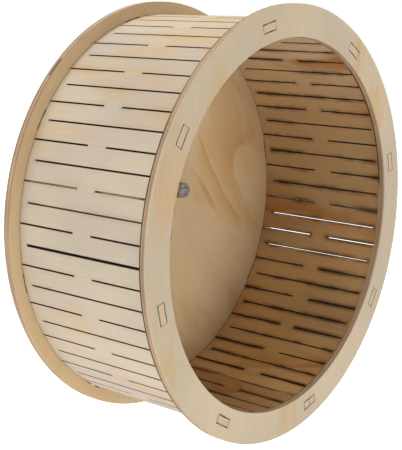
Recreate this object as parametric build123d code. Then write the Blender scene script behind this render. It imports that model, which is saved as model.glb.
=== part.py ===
from build123d import *
from math import radians, tan
import os

# A plywood running wheel for a hamster, on a ball-bearing hub that bolts to a cage wall.
# Lengths are in millimetres and angles in degrees.
# The wheel turns about the Y axis. The origin lies on that axis, on the face that meets the cage wall.
# The wheel opens towards -Y, and angles run clockwise from the top, as seen from its open side.

# Plywood wheel
wheel_diameter = 300.0
rim_overhang = 9.1  # of the ring and the disc, past the drum's outside
ring_lip = 7.4  # of the ring, past the drum's inside
ring_thickness = 5.0
disc_thickness = 5.0

# Running drum, one sheet bent at its kerfs
drum_wall = 5.0
drum_width = 111.5
kerf_width = 0.5  # at the drum's inside, from where it widens outwards
seam_gap = 0.15  # between the sheet's two ends, at the drum's inside
edge_kerf_bridge = 15.6  # wood left between the two kerfs of one row
centre_kerf_margin = 6.8  # wood left at each end of a central kerf

# Tabs of the drum in slots of the ring and the disc
tab_count = 8
row_pairs_per_tab = 4
tab_width = 13.7
slot_end_clearance = 0.2
slot_face_clearance = 0.6
first_row_angle = 5.0
first_tab_row = 5
seam_tab = 3  # counted from the first tab, and split by the seam

# Hub behind the disc
hub_diameter = 70.0
hub_cap_thickness = 3.0
hub_cap_lip = 2.0  # over the edge of the rear bearing
bearing_spacing = 1.0
bearing_seat_clearance = 0.02
hub_bolt_circle_diameter = 45.0
hub_bolt_count = 3
first_bolt_angle = 63.5
hub_bolt_diameter = 6.0
hub_bolt_hole = 6.6
hub_bolt_proud = 0.4  # beyond its nut
bolt_head_diameter = 16.2
bolt_head_height = 3.6
bolt_neck_width = 6.2
bolt_neck_clearance = 0.1
hub_nut_size = 10.0  # across its flats
hub_nut_height = 5.0
hub_nut_angle = 20.0  # how far a nut is turned when it is tight
hub_washer_diameter = 12.0
hub_washer_thickness = 1.6

# Ball bearings
bearing_bore = 8.0
bearing_diameter = 22.0
bearing_width = 7.0
bearing_chamfer = 0.3
ball_diameter = 3.969
ball_count = 7
inner_ring_wall = 2.05  # beside its race
outer_ring_wall = 2.0
race_clearance = 0.06
shield_seat_width = 0.6
shield_seat_depth = 0.7
shield_thickness = 0.35
shield_clearance = 0.35  # from the inner ring
cage_width = 1.8
cage_back = 0.45  # behind the balls
cage_reach = 1.0  # past the middle of the balls, to its open side
cage_pocket_clearance = 0.08

# Axle bolt and what it carries
axle_clearance = 0.03  # in the bearings
axle_length = 60.0
axle_head_size = 13.0  # across its flats
axle_head_height = 5.3
axle_tip_chamfer = 1.2
thread_relief_width = 1.8  # between the plain shank and the thread
thread_relief_depth = 0.4
spacer_wall = 1.8  # of the rings that bear on the bearings' inner rings
shim_thickness = 1.0
axle_washer_diameter = 16.0
axle_washer_thickness = 1.6
washer_clearance = 0.2
rear_sleeve_length = 9.5
wall_washer_diameter = 24.0
wall_washer_thickness = 2.0
thread_clearance = 0.03
hexagon_corner_angle = 30.0  # to which the corners of nuts and heads are turned down

# Places along the axis, from the cage wall to the open side
wall_y = 0.0
wall_washer_y = wall_y - wall_washer_thickness
hub_back_y = wall_washer_y - rear_sleeve_length
hub_depth = 2 * bearing_width + bearing_spacing
disc_front_y = hub_back_y - hub_depth
disc_back_y = disc_front_y + disc_thickness
drum_front_y = disc_front_y - drum_width
ring_front_y = drum_front_y - ring_thickness
hub_cap_back_y = hub_back_y + hub_cap_thickness
hub_layer_thickness = (hub_depth - disc_thickness) / 2
hub_layer_y = disc_back_y + hub_layer_thickness
shim_y = disc_front_y - shim_thickness
axle_head_y = shim_y - axle_washer_thickness

# Rows of kerfs round the drum: even rows are cut in from the edges, odd rows are cut in the middle
rows_per_tab = 2 * row_pairs_per_tab
row_count = rows_per_tab * tab_count
row_pitch = 360 / row_count
first_tab_angle = first_row_angle + first_tab_row * row_pitch
seam_row = first_tab_row + seam_tab * rows_per_tab
drum_middle_y = drum_front_y + drum_width / 2
drum_outside = wheel_diameter / 2 - rim_overhang  # to the outer face of a strip
drum_inside = drum_outside - drum_wall
tab_radius = drum_outside - drum_wall / 2

# Bearings and axle
front_bearing_y = disc_front_y + bearing_width / 2
rear_bearing_y = hub_back_y - bearing_width / 2
spacing_front_y = disc_front_y + bearing_width
spacing_back_y = hub_back_y - bearing_width
bearing_seat = bearing_diameter / 2 + bearing_seat_clearance
ball_circle = (bearing_bore + bearing_diameter) / 2
inner_land_diameter = bearing_bore + 2 * inner_ring_wall
outer_land_diameter = bearing_diameter - 2 * outer_ring_wall
axle_diameter = bearing_bore - 2 * axle_clearance
washer_bore = axle_diameter + 2 * washer_clearance
spacer_diameter = washer_bore + 2 * spacer_wall


def facing_wall(y):
    """The plane across the axle at y, whose angles run clockwise from the top."""
    return Plane(origin=(0, y, 0), x_dir=(0, 0, 1), z_dir=(0, 1, 0))


def slice_of(profile, y_from, y_to):
    """A solid of one profile between two places along the axle."""
    return extrude(facing_wall(y_from) * profile, y_to - y_from)


def round_piece(diameter, bore, y_from, y_to):
    """A washer, spacer or disc with a round hole."""
    return slice_of(Circle(diameter / 2) - Circle(bore / 2), y_from, y_to)


def at_angles(radius, count, first_angle, profile):
    """Copies of a profile round the axle."""
    return [place * profile for place in PolarLocations(radius, count, first_angle)]


def turned_hexagon(size, y_from, y_to):
    """A hexagon whose corners are turned down at both ends, as on a nut or a bolt head."""
    flat = size / 2
    middle_y = (y_from + y_to) / 2
    waist = flat + (y_to - middle_y) / tan(radians(hexagon_corner_angle))
    outline = Polyline((0, y_from), (flat, y_from), (waist, middle_y), (flat, y_to), (0, y_to), close=True)
    hexagon = slice_of(RegularPolygon(flat, 6, major_radius=False), y_from, y_to)
    return hexagon & revolve(make_face(outline), Axis.Y)


def tab_slots():
    """The slots that take the drum's tabs."""
    slot = Rectangle(drum_wall + 2 * slot_face_clearance, tab_width + 2 * slot_end_clearance)
    return at_angles(tab_radius, tab_count, first_tab_angle, slot)


def bolt_holes(profile):
    """Holes for the hub's bolts."""
    return at_angles(hub_bolt_circle_diameter / 2, hub_bolt_count, first_bolt_angle, profile)


# Plywood pieces


def front_ring():
    profile = Circle(wheel_diameter / 2) - Circle(drum_inside - ring_lip) - tab_slots()
    return slice_of(profile, ring_front_y, drum_front_y)


def rear_disc():
    profile = Circle(wheel_diameter / 2) - Circle(bearing_seat)
    profile -= tab_slots() + bolt_holes(Circle(hub_bolt_hole / 2))
    return slice_of(profile, disc_front_y, disc_back_y)


def kerf(row, y_from, y_to, width=kerf_width):
    """The wedge that a kerf opens into once the sheet is bent. Its sides are square to the strips."""
    past_outside = drum_outside + drum_wall
    narrow = width / 2
    wide = narrow + (past_outside - drum_inside) * tan(radians(row_pitch / 2))
    wedge = Polygon(
        (drum_inside, -narrow), (past_outside, -wide), (past_outside, wide), (drum_inside, narrow), align=None
    )
    return slice_of(Rot(0, 0, first_row_angle + row * row_pitch) * wedge, y_from, y_to)


def running_drum():
    """A sheet of strips, bent in a ring at its kerfs, with tabs that reach through the ring and the disc."""
    outside = RegularPolygon(drum_outside, row_count, major_radius=False, rotation=first_row_angle)
    inside = RegularPolygon(drum_inside, row_count, major_radius=False, rotation=first_row_angle)
    wall = outside - inside
    past_both_faces = Rectangle(2 * drum_wall, tab_width)
    tabs = wall & (Sketch() + at_angles(tab_radius, tab_count, first_tab_angle, past_both_faces))
    drum = slice_of(wall, drum_front_y, disc_front_y)
    drum += slice_of(tabs, ring_front_y, drum_front_y)
    drum += slice_of(tabs, disc_front_y, disc_back_y)
    kerfs = []
    for row in range(row_count):
        if row == seam_row:
            kerfs.append(kerf(row, ring_front_y, disc_back_y, seam_gap))
        elif row % 2 == 0:
            kerfs.append(kerf(row, drum_front_y, drum_middle_y - edge_kerf_bridge / 2))
            kerfs.append(kerf(row, drum_middle_y + edge_kerf_bridge / 2, disc_front_y))
        else:
            kerfs.append(kerf(row, drum_front_y + centre_kerf_margin, disc_front_y - centre_kerf_margin))
    return drum - kerfs


def hub_layer(y_from):
    """One of the two plywood layers that hold the bearings with the disc."""
    profile = Circle(hub_diameter / 2) - Circle(bearing_seat) - bolt_holes(Circle(hub_bolt_hole / 2))
    return slice_of(profile, y_from, y_from + hub_layer_thickness)


def hub_cap():
    """The thin layer that keeps the rear bearing in, with square holes for the bolts' necks."""
    neck_hole = bolt_neck_width + 2 * bolt_neck_clearance
    profile = Circle(hub_diameter / 2) - Circle(bearing_diameter / 2 - hub_cap_lip)
    profile -= bolt_holes(Rectangle(neck_hole, neck_hole))
    return slice_of(profile, hub_back_y, hub_cap_back_y)


# Hub fasteners


def hub_bolt():
    """A carriage bolt on the axle's line, to be moved out to its hole."""
    tip_y = disc_front_y - hub_washer_thickness - hub_nut_height - hub_bolt_proud
    shank = slice_of(Circle(hub_bolt_diameter / 2), tip_y, hub_cap_back_y)
    neck = slice_of(Rectangle(bolt_neck_width, bolt_neck_width), hub_back_y, hub_cap_back_y)
    dome_radius = ((bolt_head_diameter / 2) ** 2 + bolt_head_height**2) / (2 * bolt_head_height)
    crown_y = hub_cap_back_y + bolt_head_height
    dome = Pos(0, crown_y - dome_radius, 0) * Sphere(dome_radius)
    dome &= slice_of(Circle(dome_radius), hub_cap_back_y, hub_cap_back_y + dome_radius)
    return shank + neck + dome


def at_hub_bolts(piece):
    """One copy of a piece at each hub bolt, as separate solids."""
    places = PolarLocations(hub_bolt_circle_diameter / 2, hub_bolt_count, first_bolt_angle)
    to_wheel = facing_wall(0).location
    return Compound([to_wheel * place * to_wheel.inverse() * piece for place in places])


def hub_nut():
    back_y = disc_front_y - hub_washer_thickness
    nut = turned_hexagon(hub_nut_size, back_y - hub_nut_height, back_y).rotate(Axis.Y, hub_nut_angle)
    return nut - slice_of(Circle(hub_bolt_diameter / 2 + thread_clearance), back_y - hub_nut_height, back_y)


# Ball bearings


def ball_groove(y_middle):
    """The round groove of both races, as one ring."""
    groove = Circle(ball_diameter / 2 + race_clearance)
    return revolve(Pos(ball_circle / 2, y_middle) * groove, Axis.Y)


def plain_ring_edges(diameter, bore, y_middle):
    """The round edges of a plain bearing ring, from the smallest to the largest."""
    blank = round_piece(diameter, bore, y_middle - bearing_width / 2, y_middle + bearing_width / 2)
    return blank.edges().filter_by(GeomType.CIRCLE).sort_by(SortBy.RADIUS)


def inner_ring(y_middle):
    edges = plain_ring_edges(inner_land_diameter, bearing_bore, y_middle)
    return chamfer(edges[:2], bearing_chamfer) - ball_groove(y_middle)


def outer_ring(y_middle):
    edges = plain_ring_edges(bearing_diameter, outer_land_diameter, y_middle)
    ring = chamfer(edges[-2:], bearing_chamfer) - ball_groove(y_middle)
    seat = Circle(outer_land_diameter / 2 + shield_seat_width)
    half = bearing_width / 2
    ring -= slice_of(seat, y_middle - half, y_middle - half + shield_seat_depth)
    return ring - slice_of(seat, y_middle + half - shield_seat_depth, y_middle + half)


def shields(y_middle):
    """The two steel shields, which sit in the outer ring and clear the inner one."""
    ledge = bearing_width / 2 - shield_seat_depth
    bore = inner_land_diameter + 2 * shield_clearance
    diameter = outer_land_diameter + 2 * (shield_seat_width - race_clearance)
    front = round_piece(diameter, bore, y_middle - ledge - shield_thickness, y_middle - ledge)
    back = round_piece(diameter, bore, y_middle + ledge, y_middle + ledge + shield_thickness)
    return Compound([front, back])


def ball_places(y_middle):
    """The centres of a bearing's balls."""
    return [facing_wall(y_middle) * place for place in PolarLocations(ball_circle / 2, ball_count)]


def balls(y_middle):
    return Compound([place * Sphere(ball_diameter / 2) for place in ball_places(y_middle)])


def ball_cage(y_middle):
    """A crown cage that snaps over the balls, closed behind them and open in front."""
    back_y = y_middle + ball_diameter / 2 + cage_back
    crown = round_piece(ball_circle + cage_width, ball_circle - cage_width, y_middle - cage_reach, back_y)
    pocket = Sphere(ball_diameter / 2 + cage_pocket_clearance)
    return crown - [place * pocket for place in ball_places(y_middle)]


# Axle and its hardware


def axle_bolt():
    """A bolt whose plain shank carries the bearings and whose thread starts at the cage wall."""
    head = turned_hexagon(axle_head_size, axle_head_y - axle_head_height, axle_head_y)
    shank = slice_of(Circle(axle_diameter / 2), axle_head_y, axle_head_y + axle_length)
    tip_edge = shank.edges().filter_by(GeomType.CIRCLE).sort_by(Axis.Y)[-1]
    relief_bottom = axle_diameter - 2 * thread_relief_depth
    relief = round_piece(washer_bore, relief_bottom, wall_y - thread_relief_width, wall_y)
    return head + chamfer(tip_edge, axle_tip_chamfer) - relief


def on_axle(diameter, y_from, y_to):
    """A washer or spacer that the axle bolt passes through."""
    return round_piece(diameter, washer_bore, y_from, y_to)


nodes = {
    "front_ring": front_ring(),
    "running_drum": running_drum(),
    "rear_disc": rear_disc(),
    "hub_layer_front": hub_layer(disc_back_y),
    "hub_layer_rear": hub_layer(hub_layer_y),
    "hub_cap": hub_cap(),
    "hub_bolts": at_hub_bolts(hub_bolt()),
    "hub_washers": at_hub_bolts(
        round_piece(hub_washer_diameter, hub_bolt_hole, disc_front_y - hub_washer_thickness, disc_front_y)
    ),
    "hub_nuts": at_hub_bolts(hub_nut()),
    "bearing_outer_spacer": round_piece(
        bearing_diameter, outer_land_diameter, spacing_front_y, spacing_back_y
    ),
    "bearing_inner_spacer": on_axle(spacer_diameter, spacing_front_y, spacing_back_y),
    "axle_bolt": axle_bolt(),
    "axle_head_washer": on_axle(axle_washer_diameter, axle_head_y, shim_y),
    "axle_front_shim": on_axle(spacer_diameter, shim_y, disc_front_y),
    "axle_rear_sleeve": on_axle(spacer_diameter, hub_back_y, wall_washer_y),
    "wall_washer": on_axle(wall_washer_diameter, wall_washer_y, wall_y),
}
for side, y_middle in (("front", front_bearing_y), ("rear", rear_bearing_y)):
    nodes[f"{side}_bearing_outer_ring"] = outer_ring(y_middle)
    nodes[f"{side}_bearing_inner_ring"] = inner_ring(y_middle)
    nodes[f"{side}_bearing_shields"] = shields(y_middle)
    nodes[f"{side}_bearing_cage"] = ball_cage(y_middle)
    nodes[f"{side}_bearing_balls"] = balls(y_middle)

os.makedirs("parts", exist_ok=True)
for name, shape in nodes.items():
    export_step(shape, f"parts/{name}.step")
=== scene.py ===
from functools import reduce
from math import cos, pi, radians, sin

import bmesh
import bpy
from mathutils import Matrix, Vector


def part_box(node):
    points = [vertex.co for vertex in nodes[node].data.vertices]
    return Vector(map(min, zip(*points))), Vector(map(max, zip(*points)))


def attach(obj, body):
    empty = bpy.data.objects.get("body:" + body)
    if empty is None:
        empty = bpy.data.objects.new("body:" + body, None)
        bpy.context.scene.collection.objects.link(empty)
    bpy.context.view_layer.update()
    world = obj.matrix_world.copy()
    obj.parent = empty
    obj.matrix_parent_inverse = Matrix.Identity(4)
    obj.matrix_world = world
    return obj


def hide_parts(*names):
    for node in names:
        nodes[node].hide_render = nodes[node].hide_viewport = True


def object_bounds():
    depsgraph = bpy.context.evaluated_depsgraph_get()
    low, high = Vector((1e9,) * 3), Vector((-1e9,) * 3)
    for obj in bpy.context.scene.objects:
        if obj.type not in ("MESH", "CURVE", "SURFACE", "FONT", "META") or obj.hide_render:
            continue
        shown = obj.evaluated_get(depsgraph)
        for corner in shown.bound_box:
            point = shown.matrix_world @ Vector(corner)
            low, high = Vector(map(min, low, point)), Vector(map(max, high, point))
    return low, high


# Looks, light and camera for a plywood hamster wheel. Lengths are in metres, in the solids' own frame.
# The wheel turns about the Y axis and opens towards -Y. Angles run clockwise from the top, seen from there.

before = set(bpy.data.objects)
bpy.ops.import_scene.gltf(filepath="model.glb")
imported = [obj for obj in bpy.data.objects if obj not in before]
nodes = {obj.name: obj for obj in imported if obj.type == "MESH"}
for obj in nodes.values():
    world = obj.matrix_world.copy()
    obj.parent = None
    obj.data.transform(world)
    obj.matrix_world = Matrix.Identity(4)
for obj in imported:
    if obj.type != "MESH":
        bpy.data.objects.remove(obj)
cad_low, cad_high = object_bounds()

# Measures of the wheel, from the frame
_, ring_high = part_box("front_ring")
disc_low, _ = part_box("rear_disc")
_, nut_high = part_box("hub_nuts")
bolt_low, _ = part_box("hub_bolts")
_, axle_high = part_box("axle_bolt")
wheel_radius = ring_high.x
drum_front_y = ring_high.y
drum_back_y = disc_low.y
drum_middle_y = (drum_front_y + drum_back_y) / 2
drum_width = drum_back_y - drum_front_y

# Measures that the frame doesn't name
rim_overhang = 0.0091
drum_wall = 0.005
drum_outside = wheel_radius - rim_overhang
drum_inside = drum_outside - drum_wall

# Rows of kerfs: odd rows have one long kerf in the middle, even rows have a kerf from each edge
first_row_angle = radians(5.0)
row_count = 64
row_pitch = 2 * pi / row_count
edge_kerf_bridge = 0.0156
centre_kerf_margin = 0.0068
kerf_width = 0.0005
kerf_splay = 0.00025
# Rows whose kerfs gape wide: their dark lines are drawn wider, as painted shade in the gap as well as burn
gaping_rows = (28, 47)
seam_row = 29
seam_angle = radians(168.125)

# Tabs, and the slots they sit in
tab_count = 8
tab_pitch = 2 * pi / tab_count
first_tab_row = 5
first_tab_angle = first_row_angle + first_tab_row * row_pitch
tab_radius = (drum_outside + drum_inside) / 2
tab_width = 0.0137
slot_end_clearance = 0.0002
slot_face_clearance = 0.0006

# Axle bolt and hub bolts
axle_radius = 0.00397
axle_relief_radius = 0.00357
axle_relief_y = -0.0018
axle_cut_y = -0.006
axle_thread_pitch = 0.00125
axle_thread_depth = 0.0007
axle_tip_chamfer = 0.0012
axle_sides = 48
hub_bolt_count = 3
hub_bolt_circle_radius = 0.0225
first_bolt_angle = radians(63.5)
hub_bolt_radius = 0.003
hub_thread_pitch = 0.001
hub_thread_depth = 0.00055
hub_tip_chamfer = 0.0006
hub_bolt_sides = 36
hub_cut_y = nut_high.y - 0.0005

# A thread's height over one pitch falls from its crest by the slope, and is cut flat at both ends
thread_steps_per_pitch = 10
thread_crest = 1.15
thread_slope = 1.3

weld_distance = 1e-6

# Camera, solved from the photograph
photo_width = 402
photo_height = 450
focal_pixels = 1069.57
axis_pixel_x = 205.41
axis_pixel_y = 241.67
camera_place = Vector((-0.594614, -0.539324, 0.161983))
camera_yaw = radians(-51.611)
camera_pitch = radians(-13.530)
sensor_width = 36.0

# Light: each lamp has a place, a width, a height and a power
world_strength = 0.42
lamps = {
    "top_lamp": (Vector((-0.3, 0.2, 2.6)), 1.8, 1.8, 60.0),
    "front_lamp": (Vector((0.3, -1.6, -0.12)), 1.2, 0.35, 9.2),
    "low_lamp": (Vector((-0.58, -0.1, -0.27)), 0.8, 0.06, 1.25),
}

# The wheel is held at its axle, as on a cage wall, so the floor lies below it
floor_drop = 0.15
floor_size = 60.0
floor_glow = 0.58

# Sockets of a Mix node that mixes colours
MIX_A = 6
MIX_B = 7
MIX_RESULT = 2


def srgb(red, green, blue):
    """A colour as seen on a screen, from 0 to 255, as the shader's linear colour."""
    def linear(level):
        level /= 255
        return level / 12.92 if level <= 0.04045 else ((level + 0.055) / 1.055) ** 2.4
    return (linear(red), linear(green), linear(blue), 1.0)


class Tree:
    """Short calls for the nodes of one material."""

    def __init__(self, name):
        self.material = bpy.data.materials.new(name)
        self.material.use_nodes = True
        self.nodes = self.material.node_tree.nodes
        self.links = self.material.node_tree.links
        self.nodes.clear()
        self.shader = self.nodes.new("ShaderNodeBsdfPrincipled")
        output = self.nodes.new("ShaderNodeOutputMaterial")
        self.links.new(self.shader.outputs["BSDF"], output.inputs["Surface"])

    def put(self, socket, value):
        """A socket takes a number, a colour or another node's output."""
        if isinstance(value, bpy.types.NodeSocket):
            self.links.new(value, socket)
        elif value is not None:
            socket.default_value = value

    def set(self, **values):
        """Fills the shader's sockets. A socket's name has an underscore for each space."""
        for name, value in values.items():
            self.put(self.shader.inputs[name.replace("_", " ")], value)

    def math(self, operation, a, b=None, c=None):
        node = self.nodes.new("ShaderNodeMath")
        node.operation = operation
        for socket, value in zip(node.inputs, (a, b, c)):
            self.put(socket, value)
        return node.outputs[0]

    def add(self, a, b):
        return self.math("ADD", a, b)

    def minus(self, a, b):
        return self.math("SUBTRACT", a, b)

    def times(self, a, b):
        return self.math("MULTIPLY", a, b)

    def size(self, a):
        return self.math("ABSOLUTE", a)

    def point(self, x, y, z):
        node = self.nodes.new("ShaderNodeCombineXYZ")
        for socket, value in zip(node.inputs, (x, y, z)):
            self.put(socket, value)
        return node.outputs[0]

    def parts(self, vector):
        node = self.nodes.new("ShaderNodeSeparateXYZ")
        self.put(node.inputs[0], vector)
        return node.outputs[0], node.outputs[1], node.outputs[2]

    def place(self):
        """The point on the piece, in the frame at rest, so that a pattern turns with the wheel."""
        return self.parts(self.nodes.new("ShaderNodeTexCoord").outputs["Object"])

    def facing(self):
        """The surface's direction, in the frame at rest."""
        return self.parts(self.nodes.new("ShaderNodeTexCoord").outputs["Normal"])

    def off_axle(self, x, z):
        """The distance from the axle."""
        return self.math("SQRT", self.add(self.times(x, x), self.times(z, z)))

    def noise(self, vector, scale, detail=2.0, roughness=0.5):
        node = self.nodes.new("ShaderNodeTexNoise")
        for name, value in (
            ("Vector", vector),
            ("Scale", scale),
            ("Detail", detail),
            ("Roughness", roughness),
        ):
            self.put(node.inputs[name], value)
        return node.outputs[0]

    def step(self, value, low, high, to_low=0.0, to_high=1.0):
        """A soft step from to_low to to_high as value goes from low to high."""
        node = self.nodes.new("ShaderNodeMapRange")
        node.interpolation_type = "SMOOTHSTEP"
        for socket, number in zip(node.inputs, (value, low, high, to_low, to_high)):
            self.put(socket, number)
        return node.outputs[0]

    def fade(self, value, low, high):
        """A soft step down, from 1 at low to 0 at high."""
        return self.step(value, low, high, 1.0, 0.0)

    def within(self, value, low, high, soft):
        """1 between low and high, fading over soft at both ends."""
        return self.times(self.step(value, low - soft, low), self.fade(value, high, high + soft))

    def mix(self, share, a, b, blend="MIX"):
        node = self.nodes.new("ShaderNodeMix")
        node.data_type = "RGBA"
        node.blend_type = blend
        self.put(node.inputs[0], share)
        self.put(node.inputs[MIX_A], a)
        self.put(node.inputs[MIX_B], b)
        return node.outputs[MIX_RESULT]

    def bump(self, height, distance, strength):
        node = self.nodes.new("ShaderNodeBump")
        self.put(node.inputs["Height"], height)
        self.put(node.inputs["Distance"], distance)
        self.put(node.inputs["Strength"], strength)
        return node.outputs[0]


# Plywood

# A face has a pale tone, the honey tone of its growth bands, and a greyer tone
RING_TONES = (srgb(209, 192, 163), srgb(203, 171, 127), srgb(197, 182, 158))
DISC_TONES = (srgb(219, 191, 150), srgb(199, 156, 98), srgb(208, 182, 146))
STRIP_TONES = (srgb(214, 200, 177), srgb(212, 184, 143), srgb(203, 190, 173))
# The drum's inside tones are darker and browner than its outside as painted shade, and its tone overhead
# inside is paler as painted light
INSIDE_PAINTED_SHADE_TONES = (srgb(220, 182, 127), srgb(180, 121, 58), srgb(198, 166, 121))
INSIDE_TOP_PAINTED_LIGHT = srgb(224, 202, 172)
# Painted light: the disc's front face beyond the drum, which the drum shades, is painted paler
DISC_FLANGE_PAINTED_LIGHT = srgb(230, 202, 160)
LONG_GRAIN_EDGE = srgb(214, 190, 158)
END_GRAIN_EDGE = srgb(176, 142, 112)
GLUE_LINE = srgb(120, 90, 66)
FIBRE_LIGHT = srgb(255, 255, 255)
FIBRE_DARK = srgb(150, 122, 92)
# These two browns are scorch and char, and also serve as painted shade: in the drum's joints, the gaping
# kerfs and the disc's crack
SCORCHED_AND_SHADE = srgb(84, 54, 34)
CHARRED_AND_SHADE = srgb(30, 19, 13)

# The veneer's pattern: its scales are per metre
wander_scale = 34.0
grain_wander = 0.022
growth_scale = 10.0
growth_ring_count = 9.0
patch_scale = 19.0
soft_scale = 13.0
fibre_scale = 1900.0
streak_scale = 420.0
fleck_scale = 800.0
grain_relief = 0.00012
grain_relief_strength = 0.6
drum_seed = 4.5
drum_coverage = 0.55
drum_contrast = 0.9

# The cut edge: where its two glue lines lie, as shares of the thickness, and how softly the plies change
front_glue = 0.33
back_glue = 0.67
glue_softness = 0.03
ply_softness = 0.02
drum_end_grain = 0.35
drum_end_paleness = 0.45
slot_scorch = 0.85
slot_zone_start = drum_wall * 0.7
slot_zone_end = drum_wall * 0.8

# Burns along the kerfs, and the dark band along the drum's edges, which is scorch and painted shade in its
# joints with the ring and the disc: their widths in metres, then their strengths
least_burn = 0.00010
inside_burn = 0.00030
# Painted shade as well as burn: the extra width at the gaping rows
gaping_burn_and_shade = 0.00035
seam_narrowing = 0.00049
burn_softness = 0.00016
line_end_softness = 0.0006
haze_start = 0.0003
haze_reach = 0.0042
haze_end_softness = 0.004
joint_scorch_and_shade_width = 0.0009
burn_strength = 0.93
haze_strength = 0.12
haze_added_inside = 0.73
joint_scorch_and_shade_strength = 0.65

# Marks on the rims, as angles and as shares of the sheet's thickness
darker_sector_outer_rim = (radians(236), radians(300), radians(22))
darker_sector_inner_rim = (radians(38), radians(84), radians(3))
crack_angles = (radians(314.5), radians(319.5), radians(1.0))
crack_depths = (0.36, 0.56, 0.06)


def growth_bands(tree, along, across, seed):
    """The growth rings as the cut follows them: long loops, each soft on one side and sharp on the other."""
    warp = tree.noise(tree.point(tree.times(along, 0.5), across, seed + 2.9), wander_scale, 2.0)
    bent_across = tree.add(across, tree.times(warp, grain_wander))
    growth = tree.noise(tree.point(tree.times(along, 0.3), bent_across, seed), growth_scale, 1.0, 0.4)
    ring = tree.math("FRACT", tree.times(growth, growth_ring_count))
    return tree.times(tree.math("POWER", ring, 1.6), tree.fade(ring, 0.93, 1.0))


def veneer(tree, along, across, seed, tones, coverage, contrast):
    """Colour and relief of a rotary-cut face, from the way along and across its grain.

    Coverage is the share of the face where growth bands show, and contrast is how strong they are."""
    band = growth_bands(tree, along, across, seed)
    patches = tree.noise(tree.point(tree.times(along, 0.45), across, seed + 3.7), patch_scale, 3.0, 0.55)
    patch = tree.step(patches, 0.66 - coverage * 0.3, 0.80 - coverage * 0.3)
    honey = tree.times(patch, tree.add(0.30, tree.times(band, 0.70)))
    soft = tree.noise(tree.point(tree.times(along, 0.6), across, seed + 8.1), soft_scale, 2.0)
    pale, honeyed, greyed = tones
    face = tree.mix(tree.step(soft, 0.35, 0.65), pale, greyed)
    face = tree.mix(tree.times(honey, contrast), face, honeyed)
    fibre = tree.noise(tree.point(tree.times(along, 0.03), across, seed + 1.3), fibre_scale, 3.0, 0.6)
    streak = tree.noise(tree.point(tree.times(along, 0.05), across, seed + 5.9), streak_scale, 2.0, 0.55)
    flecks = tree.noise(tree.point(tree.times(along, 0.25), across, seed + 4.4), fleck_scale, 2.0)
    shade = tree.add(tree.times(fibre, 0.16), tree.times(streak, 0.15))
    shade = tree.add(shade, tree.times(tree.step(flecks, 0.68, 0.8), 0.14))
    colour = tree.mix(1.0, face, tree.mix(shade, FIBRE_LIGHT, FIBRE_DARK), "MULTIPLY")
    relief = tree.add(tree.times(fibre, 0.6), tree.times(streak, 0.4))
    return colour, relief


def ply_edge(tree, depth, end_grain, place):
    """Colour of a cut edge, from the depth through three plies, 0 to 1, and the share of end grain."""
    grain = tree.noise(place, 900.0, 3.0, 0.6)
    wobble = tree.add(depth, tree.times(tree.add(tree.noise(place, 60.0), -0.5), 0.10))
    behind_front_ply = tree.step(wobble, front_glue - ply_softness, front_glue + ply_softness)
    before_back_ply = tree.fade(wobble, back_glue - ply_softness, back_glue + ply_softness)
    core = tree.times(behind_front_ply, before_back_ply)
    core_end = tree.minus(1.0, end_grain)
    end = tree.add(tree.times(core, core_end), tree.times(tree.minus(1.0, core), end_grain))
    wood = tree.mix(tree.times(end, 0.8), LONG_GRAIN_EDGE, END_GRAIN_EDGE)
    at_front_glue = tree.fade(tree.size(tree.add(wobble, -front_glue)), 0.0, glue_softness)
    at_back_glue = tree.fade(tree.size(tree.add(wobble, -back_glue)), 0.0, glue_softness)
    glue = tree.math("MAXIMUM", at_front_glue, at_back_glue)
    wood = tree.mix(tree.times(glue, 0.5), wood, GLUE_LINE)
    toast = tree.step(tree.noise(place, 35.0, 2.0), 0.35, 0.75)
    wood = tree.mix(tree.times(toast, 0.25), wood, SCORCHED_AND_SHADE)
    return tree.mix(tree.times(grain, 0.25), wood, GLUE_LINE)


def past_tab(tree, angle, radius, end_clearance=0.0, face_clearance=0.0):
    """How far a point lies outside the nearest tab, or the slot round it. It is negative on the inside."""
    turn = tree.math("MODULO", tree.add(angle, 4 * pi - first_tab_angle + tab_pitch / 2), tab_pitch)
    off = tree.add(turn, -tab_pitch / 2)
    sideways = tree.size(tree.times(radius, tree.math("SINE", off)))
    outwards = tree.add(tree.times(radius, tree.math("COSINE", off)), -tab_radius)
    past_end = tree.add(sideways, -(tab_width / 2 + end_clearance))
    past_face = tree.add(tree.size(outwards), -(drum_wall / 2 + face_clearance))
    return tree.math("MAXIMUM", past_end, past_face)


def slot_outlines(tree, face, angle, radius, place):
    """A face's colour with the uneven scorch round its slots."""
    past_slot = past_tab(tree, angle, radius, slot_end_clearance, slot_face_clearance)
    smoke = tree.step(tree.noise(place, 130.0), 0.42, 0.62, 0.03, 0.50)
    outline = tree.times(tree.fade(past_slot, 0.0002, 0.0008), smoke)
    return tree.mix(outline, face, SCORCHED_AND_SHADE)


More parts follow.
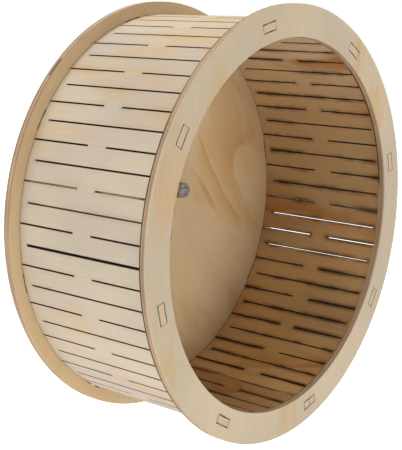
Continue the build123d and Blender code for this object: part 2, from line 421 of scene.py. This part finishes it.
def flat_plywood(name, y_front, thickness, grain_angle, seed, tones, coverage, contrast, edge_scorch, mark):
    """A laser-cut sheet that lies across the axle. A mark function may add to its face and its edge."""
    tree = Tree(name)
    x, y, z = tree.place()
    place = tree.point(x, y, z)
    radius = tree.off_axle(x, z)
    angle = tree.math("MODULO", tree.add(tree.math("ARCTAN2", x, z), 2 * pi), 2 * pi)
    depth = tree.times(tree.add(y, -y_front), 1 / thickness)
    facing_x, facing_y, facing_z = tree.facing()

    turn_cos, turn_sin = cos(grain_angle), sin(grain_angle)
    along = tree.add(tree.times(x, turn_sin), tree.times(z, turn_cos))
    across = tree.add(tree.times(x, turn_cos), tree.times(z, -turn_sin))
    face, relief = veneer(tree, along, across, seed, tones, coverage, contrast)
    face = slot_outlines(tree, face, angle, radius, place)

    edge_along = tree.add(tree.times(facing_x, turn_sin), tree.times(facing_z, turn_cos))
    end_grain = tree.step(tree.size(edge_along), 0.2, 0.9)
    edge = ply_edge(tree, depth, end_grain, place)
    off_slot = tree.size(tree.add(radius, -tab_radius))
    in_slot = tree.step(off_slot, slot_zone_start, slot_zone_end, slot_scorch, edge_scorch)
    edge = tree.mix(in_slot, edge, SCORCHED_AND_SHADE)
    if mark is not None:
        face, edge = mark(tree, face, edge, angle, radius, depth)

    is_face = tree.step(tree.size(facing_y), 0.6, 0.8)
    tree.set(Base_Color=tree.mix(is_face, edge, face), Roughness=tree.step(relief, 0.2, 0.8, 0.55, 0.72))
    tree.set(Normal=tree.bump(relief, grain_relief, grain_relief_strength), Specular_IOR_Level=0.25)
    return tree.material


def at_rim(tree, radius):
    """1 on the outer rim of the ring or the disc."""
    return tree.step(radius, wheel_radius - 0.002, wheel_radius - 0.001)


def ring_marks(tree, face, edge, angle, radius, depth):
    """The ring's edges, darker on their far side, most of all in two sectors, and pale next to the front
    face.
    """
    outer = at_rim(tree, radius)
    at_left = tree.times(tree.within(angle, *darker_sector_outer_rim), outer)
    at_right = tree.times(tree.within(angle, *darker_sector_inner_rim), tree.minus(1.0, outer))
    darker_sector = tree.math("MAXIMUM", at_left, at_right)
    far_side = tree.times(tree.step(depth, 0.74, 0.84), tree.add(0.25, tree.times(darker_sector, 0.6)))
    near_side = tree.times(tree.fade(depth, 0.16, 0.26), 0.5)
    edge = tree.mix(near_side, edge, LONG_GRAIN_EDGE)
    return face, tree.mix(far_side, edge, CHARRED_AND_SHADE)


def disc_marks(tree, face, edge, angle, radius, depth):
    """A front face painted paler beyond the drum as painted light, and a gap in the core ply that shows as a
    crack in the rim, painted near black as painted shade.
    """
    # Painted light on the flange beyond the drum
    painted_light_beyond_drum = tree.step(radius, drum_outside - 0.001, drum_outside + 0.001)
    painted_light_beyond_drum = tree.times(painted_light_beyond_drum, tree.fade(depth, 0.2, 0.4))
    face = tree.mix(tree.times(painted_light_beyond_drum, 0.7), face, DISC_FLANGE_PAINTED_LIGHT)
    # Painted shade: the crack is painted near black where the mesh has no gap
    crack = tree.times(tree.within(angle, *crack_angles), tree.within(depth, *crack_depths))
    crack = tree.times(crack, tree.times(at_rim(tree, radius), 0.92))
    return face, tree.mix(crack, edge, CHARRED_AND_SHADE)


def nearest_row(tree, angle, radius):
    """The number of the nearest row of kerfs, and the distance to its middle line."""
    turn = tree.math("MODULO", tree.add(angle, 2 * pi - first_row_angle), 2 * pi)
    row = tree.times(turn, 1 / row_pitch)
    number = tree.math("ROUND", row)
    off_row = tree.times(tree.size(tree.minus(row, number)), row_pitch)
    return number, tree.times(off_row, radius)


def among_rows(tree, number, rows):
    """1 where the nearest row is one of these, and 0 elsewhere."""
    return reduce(tree.add, [tree.math("COMPARE", number, row, 0.5) for row in rows])


def along_cut(tree, number, from_middle, softness):
    """1 beside a kerf of the nearest row and 0 past its ends."""
    odd = tree.math("MODULO", number, 2.0)
    even = tree.minus(1.0, odd)
    past_bridge = tree.step(from_middle, edge_kerf_bridge / 2 - softness, edge_kerf_bridge / 2)
    margin_start = drum_width / 2 - centre_kerf_margin
    before_margin = tree.fade(from_middle, margin_start, margin_start + softness)
    return tree.add(tree.times(odd, before_margin), tree.times(even, past_bridge))


def burnt_line(tree, number, off_row, from_middle, inside, fray):
    """1 on the burnt line along a kerf. It is wider on the inside, and at the gaping rows, where the extra
    width is painted shade for their wider gaps as well as burn.
    """
    half_kerf = tree.add(kerf_width / 2, tree.times(tree.minus(1.0, inside), kerf_splay))
    gaping = among_rows(tree, number, gaping_rows)
    burn = tree.add(tree.times(inside, inside_burn), tree.times(gaping, gaping_burn_and_shade))
    burn = tree.add(tree.times(burn, tree.add(0.6, fray)), least_burn)
    burn = tree.minus(burn, tree.times(among_rows(tree, number, (seam_row,)), seam_narrowing))
    past_burn = tree.minus(off_row, tree.add(half_kerf, burn))
    line = tree.fade(past_burn, -burn_softness, burn_softness)
    return tree.times(line, along_cut(tree, number, from_middle, line_end_softness))


def kerf_burns(tree, face, angle, radius, y, across, inside, seed):
    """A face's colour with the burnt lines along its kerfs, the smoke beside them, and the dark band along
    its edges, scorch and painted shade where the drum meets the ring and the disc.
    """
    number, off_row = nearest_row(tree, angle, radius)
    from_middle = tree.size(tree.add(y, -drum_middle_y))
    smoke = tree.noise(tree.point(tree.times(y, 0.5), across, seed + 2.2), 55.0, 3.0, 0.6)
    fray = tree.noise(tree.point(y, across, seed), 700.0, 2.0)
    haze = tree.fade(off_row, haze_start, haze_reach)
    haze = tree.times(haze, along_cut(tree, number, from_middle, haze_end_softness))
    haze = tree.times(haze, tree.step(smoke, 0.40, 0.62))
    haze = tree.times(haze, tree.add(haze_strength, tree.times(inside, haze_added_inside)))
    face = tree.mix(haze, face, SCORCHED_AND_SHADE)
    line = burnt_line(tree, number, off_row, from_middle, inside, fray)
    face = tree.mix(tree.times(line, burn_strength), face, CHARRED_AND_SHADE)
    from_edge = tree.minus(drum_width / 2, from_middle)
    # Painted shade as well as scorch: the band along the drum's edges, at its joints with the ring and the
    # disc
    joint_scorch_and_shade = tree.fade(from_edge, 0.0, joint_scorch_and_shade_width)
    return tree.mix(tree.times(joint_scorch_and_shade, joint_scorch_and_shade_strength), face, SCORCHED_AND_SHADE)


def drum_tones(tree, inside, z, radius):
    """The drum's tones outside and inside. Inside they are darker and browner as painted shade, and paler
    overhead as painted light.
    """
    tones = [tree.mix(inside, outer, inner) for outer, inner in zip(STRIP_TONES, INSIDE_PAINTED_SHADE_TONES)]
    # Painted light: the inside is paler towards the top
    painted_light_overhead = tree.times(tree.step(tree.math("DIVIDE", z, radius), 0.45, 0.95), inside)
    for index in (0, 2):
        tones[index] = tree.mix(tree.times(painted_light_overhead, 0.8), tones[index], INSIDE_TOP_PAINTED_LIGHT)
    return tones


def bent_plywood(name, seed):
    """The drum's sheet, with its grain along the axle and its kerf walls charred by the laser."""
    tree = Tree(name)
    x, y, z = tree.place()
    place = tree.point(x, y, z)
    angle = tree.math("ARCTAN2", x, z)
    radius = tree.off_axle(x, z)
    from_seam = tree.math("MODULO", tree.add(angle, 4 * pi - seam_angle), 2 * pi)
    across = tree.times(from_seam, drum_outside)
    inside = tree.fade(radius, drum_inside + 0.001, drum_outside - 0.001)

    tones = drum_tones(tree, inside, z, radius)
    face, relief = veneer(tree, y, across, seed, tones, drum_coverage, drum_contrast)
    face = kerf_burns(tree, face, angle, radius, y, across, inside, seed)

    depth = tree.times(tree.add(radius, -drum_inside), 1 / drum_wall)
    end = tree.mix(drum_end_paleness, ply_edge(tree, depth, drum_end_grain, place), RING_TONES[0])
    tab_outline = tree.step(past_tab(tree, angle, radius), -0.0008, -0.0002)
    end = tree.mix(tree.times(tab_outline, 0.25), end, SCORCHED_AND_SHADE)
    soot = tree.noise(place, 250.0, 3.0, 0.6)
    wall = tree.mix(tree.step(soot, 0.35, 0.9, 0.0, 0.5), CHARRED_AND_SHADE, SCORCHED_AND_SHADE)

    facing_x, facing_y, facing_z = tree.facing()
    outward = tree.math("DIVIDE", tree.add(tree.times(facing_x, x), tree.times(facing_z, z)), radius)
    is_face = tree.step(tree.size(outward), 0.8, 0.95)
    is_end = tree.step(tree.size(facing_y), 0.6, 0.8)
    edge = tree.mix(is_end, wall, end)
    tree.set(Base_Color=tree.mix(is_face, edge, face), Roughness=tree.step(relief, 0.2, 0.8, 0.6, 0.78))
    tree.set(Normal=tree.bump(relief, grain_relief, grain_relief_strength), Specular_IOR_Level=0.1)
    return tree.material


# Metal and nylon


def plated_zinc(name):
    """Bright zinc plate with the faint yellow and blue clouds of its finish."""
    tree = Tree(name)
    place = tree.point(*tree.place())
    cloud = tree.step(tree.noise(place, 260.0, 3.0, 0.6), 0.3, 0.7)
    colour = tree.mix(cloud, srgb(172, 178, 186), srgb(192, 188, 174))
    grime = tree.step(tree.noise(place, 900.0, 4.0, 0.65), 0.55, 0.85)
    colour = tree.mix(tree.times(grime, 0.35), colour, srgb(120, 116, 108))
    rough = tree.step(tree.noise(place, 700.0, 3.0), 0.3, 0.7, 0.28, 0.48)
    tree.set(Base_Color=colour, Metallic=1.0, Roughness=rough)
    tree.set(Normal=tree.bump(tree.noise(place, 2400.0, 2.0), 0.00004, 0.5))
    return tree.material


def turned_steel(name, light, dark, low, high):
    """Ground steel with the fine rings that turning leaves about the axle."""
    tree = Tree(name)
    x, y, z = tree.place()
    rings = tree.noise(tree.point(tree.off_axle(x, z), y, 0.0), 5200.0, 2.0, 0.6)
    cloud = tree.step(tree.noise(tree.point(x, y, z), 220.0, 2.0), 0.3, 0.75)
    colour = tree.mix(tree.times(tree.add(cloud, rings), 0.5), light, dark)
    tree.set(Base_Color=colour, Metallic=1.0, Roughness=tree.step(rings, 0.2, 0.8, low, high))
    tree.set(Normal=tree.bump(rings, 0.00002, 0.5))
    return tree.material


def moulded_nylon(name):
    """The faintly clouded nylon of the ball cages."""
    tree = Tree(name)
    place = tree.point(*tree.place())
    cloud = tree.step(tree.noise(place, 400.0, 3.0), 0.3, 0.7)
    colour = tree.mix(cloud, srgb(226, 218, 196), srgb(208, 198, 172))
    tree.set(Base_Color=colour, Roughness=tree.step(cloud, 0.0, 1.0, 0.38, 0.52))
    tree.set(Normal=tree.bump(tree.noise(place, 3000.0, 2.0), 0.00003, 0.4))
    return tree.material


def dress(piece, material):
    """Gives its material to a node, by name, or to a new piece."""
    if isinstance(piece, str):
        piece = nodes[piece]
    piece.data.materials.clear()
    piece.data.materials.append(material)


# Screw threads, which the plain solids leave out


def turned_profile(build, centre, rows, sides):
    """Quads between rings about an axle-wise line. A row is (y, radius as a function of the angle)."""
    rings = []
    for y, radius_at in rows:
        ring = []
        for side in range(sides):
            angle = 2 * pi * side / sides
            radius = radius_at(angle)
            place = (centre.x + radius * sin(angle), y, centre.z + radius * cos(angle))
            ring.append(build.verts.new(place))
        rings.append(ring)
    for near, far in zip(rings, rings[1:]):
        for side in range(sides):
            following = (side + 1) % sides
            build.faces.new((near[side], far[side], far[following], near[following]))
    build.faces.new(rings[-1])


def thread_rows(y_from, y_to, radius, pitch, depth, chamfer):
    """Rings of a thread that ends in a chamfered tip at y_to."""
    count = round(abs(y_to - y_from) / pitch * thread_steps_per_pitch)
    rows = []
    for index in range(count + 1):
        y = y_from + (y_to - y_from) * index / count
        tip_limit = radius - chamfer + abs(y_to - y)

        def radius_at(angle, y=y, tip_limit=tip_limit):
            phase = (y / pitch - angle / (2 * pi)) % 1.0
            height = min(max(thread_crest - abs(2 * phase - 1) * thread_slope, 0.0), 1.0)
            return min(radius - depth * (1 - height), tip_limit)

        rows.append((y, radius_at))
    return rows


def bolt_with_thread(name, node, cut_y, keep_above, stems):
    """A piece that has a node's head and plain shank, and a real thread in place of each plain end."""
    build = bmesh.new()
    build.from_mesh(nodes[node].data)
    bmesh.ops.remove_doubles(build, verts=build.verts, dist=weld_distance)
    geometry = build.verts[:] + build.edges[:] + build.faces[:]
    bmesh.ops.bisect_plane(
        build, geom=geometry, plane_co=(0, cut_y, 0), plane_no=(0, 1, 0),
        clear_outer=not keep_above, clear_inner=keep_above,
    )
    for centre, rows, sides in stems:
        turned_profile(build, centre, rows, sides)
    bmesh.ops.recalc_face_normals(build, faces=build.faces)
    mesh = bpy.data.meshes.new(name)
    build.to_mesh(mesh)
    build.free()
    piece = bpy.data.objects.new(name, mesh)
    bpy.context.scene.collection.objects.link(piece)
    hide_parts(node)
    return piece


def axle_bolt_piece():
    """The axle bolt, whose thread starts behind its relief, at the cage wall."""
    def plain(radius):
        return lambda angle: radius

    rows = [
        (axle_cut_y, plain(axle_radius)),
        (axle_relief_y, plain(axle_radius)),
        (axle_relief_y, plain(axle_relief_radius)),
        (0.0, plain(axle_relief_radius)),
    ]
    rows += thread_rows(
        0.0, axle_high.y, axle_radius, axle_thread_pitch, axle_thread_depth, axle_tip_chamfer
    )
    stems = [(Vector((0, 0, 0)), rows, axle_sides)]
    piece = bolt_with_thread("axle_bolt_threaded", "axle_bolt", axle_cut_y, False, stems)
    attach(piece, "axle")
    return piece


def hub_bolts_piece():
    """The three hub bolts, with thread where they come through their nuts."""
    stems = []
    for index in range(hub_bolt_count):
        angle = first_bolt_angle + 2 * pi * index / hub_bolt_count
        centre = Vector((hub_bolt_circle_radius * sin(angle), 0, hub_bolt_circle_radius * cos(angle)))
        rows = thread_rows(
            hub_cut_y, bolt_low.y, hub_bolt_radius, hub_thread_pitch, hub_thread_depth, hub_tip_chamfer
        )
        stems.append((centre, rows, hub_bolt_sides))
    piece = bolt_with_thread("hub_bolts_threaded", "hub_bolts", hub_cut_y, True, stems)
    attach(piece, "wheel")
    return piece


# Materials on the nodes

zinc = plated_zinc("zinc_plate")
steel = turned_steel("ground_steel", srgb(206, 208, 210), srgb(168, 170, 172), 0.16, 0.34)
ball_steel = turned_steel("polished_steel", srgb(222, 224, 226), srgb(196, 198, 202), 0.06, 0.14)
nylon = moulded_nylon("cage_nylon")

# Each sheet's grain angle, seed, tones, coverage, contrast, edge scorch and marks
sheets = {
    "front_ring": (radians(8), 2.4, RING_TONES, 0.45, 0.95, 0.15, ring_marks),
    "rear_disc": (radians(-35), 71.9, DISC_TONES, 0.75, 1.0, 0.15, disc_marks),
    "hub_layer_front": (radians(80), 12.6, RING_TONES, 0.5, 0.8, 0.3, None),
    "hub_layer_rear": (radians(12), 15.2, DISC_TONES, 0.5, 0.8, 0.3, None),
    "hub_cap": (radians(35), 19.3, RING_TONES, 0.5, 0.8, 0.3, None),
}
for name, looks in sheets.items():
    low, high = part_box(name)
    dress(name, flat_plywood(name + "_plywood", low.y, high.y - low.y, *looks))
dress("running_drum", bent_plywood("drum_plywood", drum_seed))

for name in ("hub_washers", "hub_nuts", "axle_head_washer", "wall_washer", "axle_rear_sleeve"):
    dress(name, zinc)
dress(axle_bolt_piece(), zinc)
dress(hub_bolts_piece(), zinc)
for name in ("axle_front_shim", "bearing_inner_spacer", "bearing_outer_spacer"):
    dress(name, steel)
for side in ("front", "rear"):
    for part in ("outer_ring", "inner_ring", "shields"):
        dress(f"{side}_bearing_{part}", steel)
    dress(f"{side}_bearing_balls", ball_steel)
    dress(f"{side}_bearing_cage", nylon)


# Floor, light and camera


def pale_floor():
    """A plain floor some way below the wheel. The camera sees it white, but for the wheel's shadow."""
    build = bmesh.new()
    bmesh.ops.create_grid(build, x_segments=4, y_segments=4, size=floor_size / 2)
    mesh = bpy.data.meshes.new("floor")
    build.to_mesh(mesh)
    build.free()
    floor = bpy.data.objects.new("floor", mesh)
    bpy.context.scene.collection.objects.link(floor)
    floor.location.z = cad_low.z - floor_drop
    tree = Tree("floor_white")
    grain = tree.noise(tree.point(*tree.place()), 30.0, 3.0)
    seen = tree.nodes.new("ShaderNodeLightPath").outputs["Is Camera Ray"]
    tree.set(
        Base_Color=tree.mix(grain, srgb(250, 250, 250), srgb(246, 246, 246)),
        Roughness=0.9,
        Specular_IOR_Level=0.2,
        Emission_Color=(1.0, 1.0, 1.0, 1.0),
        Emission_Strength=tree.times(seen, floor_glow),
    )
    mesh.materials.append(tree.material)


def white_world():
    """Even light from all sides, which the camera, gloss and glass see as white."""
    world = bpy.data.worlds.new("studio")
    bpy.context.scene.world = world
    world.use_nodes = True
    tree = world.node_tree
    background = tree.nodes["Background"]
    background.inputs["Color"].default_value = (1.0, 1.0, 1.0, 1.0)
    light_path = tree.nodes.new("ShaderNodeLightPath")
    shown = light_path.outputs["Is Camera Ray"]
    for ray in ("Is Glossy Ray", "Is Transmission Ray"):
        either = tree.nodes.new("ShaderNodeMath")
        either.operation = "MAXIMUM"
        tree.links.new(shown, either.inputs[0])
        tree.links.new(light_path.outputs[ray], either.inputs[1])
        shown = either.outputs[0]
    strength = tree.nodes.new("ShaderNodeMapRange")
    tree.links.new(shown, strength.inputs["Value"])
    strength.inputs["To Min"].default_value = world_strength
    strength.inputs["To Max"].default_value = 1.0
    tree.links.new(strength.outputs[0], background.inputs["Strength"])


def soft_lamp(name, place, width, height, power):
    """A rectangular lamp that faces the wheel, and that neither the camera nor a reflection shows."""
    data = bpy.data.lights.new(name, "AREA")
    data.shape = "RECTANGLE"
    data.size = width
    data.size_y = height
    data.energy = power
    lamp = bpy.data.objects.new(name, data)
    lamp.location = place
    centre = (cad_low + cad_high) / 2
    lamp.rotation_mode = "QUATERNION"
    lamp.rotation_quaternion = (centre - place).to_track_quat("-Z", "Y")
    lamp.visible_camera = False
    lamp.visible_glossy = False
    bpy.context.scene.collection.objects.link(lamp)


def photo_camera():
    """The photograph's own place, direction and framing."""
    data = bpy.data.cameras.new("camera")
    data.sensor_width = sensor_width
    data.lens = focal_pixels / photo_height * sensor_width
    data.shift_x = -(axis_pixel_x - photo_width / 2) / photo_height
    data.shift_y = (axis_pixel_y - photo_height / 2) / photo_height
    camera = bpy.data.objects.new("camera", data)
    camera.location = camera_place
    forward = Vector((
        -sin(camera_yaw) * cos(camera_pitch),
        cos(camera_yaw) * cos(camera_pitch),
        sin(camera_pitch),
    ))
    camera.rotation_mode = "QUATERNION"
    camera.rotation_quaternion = forward.to_track_quat("-Z", "Y")
    bpy.context.scene.collection.objects.link(camera)
    bpy.context.scene.camera = camera


pale_floor()
white_world()
for name, (place, width, height, power) in lamps.items():
    soft_lamp(name, place, width, height, power)
photo_camera()
bpy.context.scene.view_settings.view_transform = "Standard"
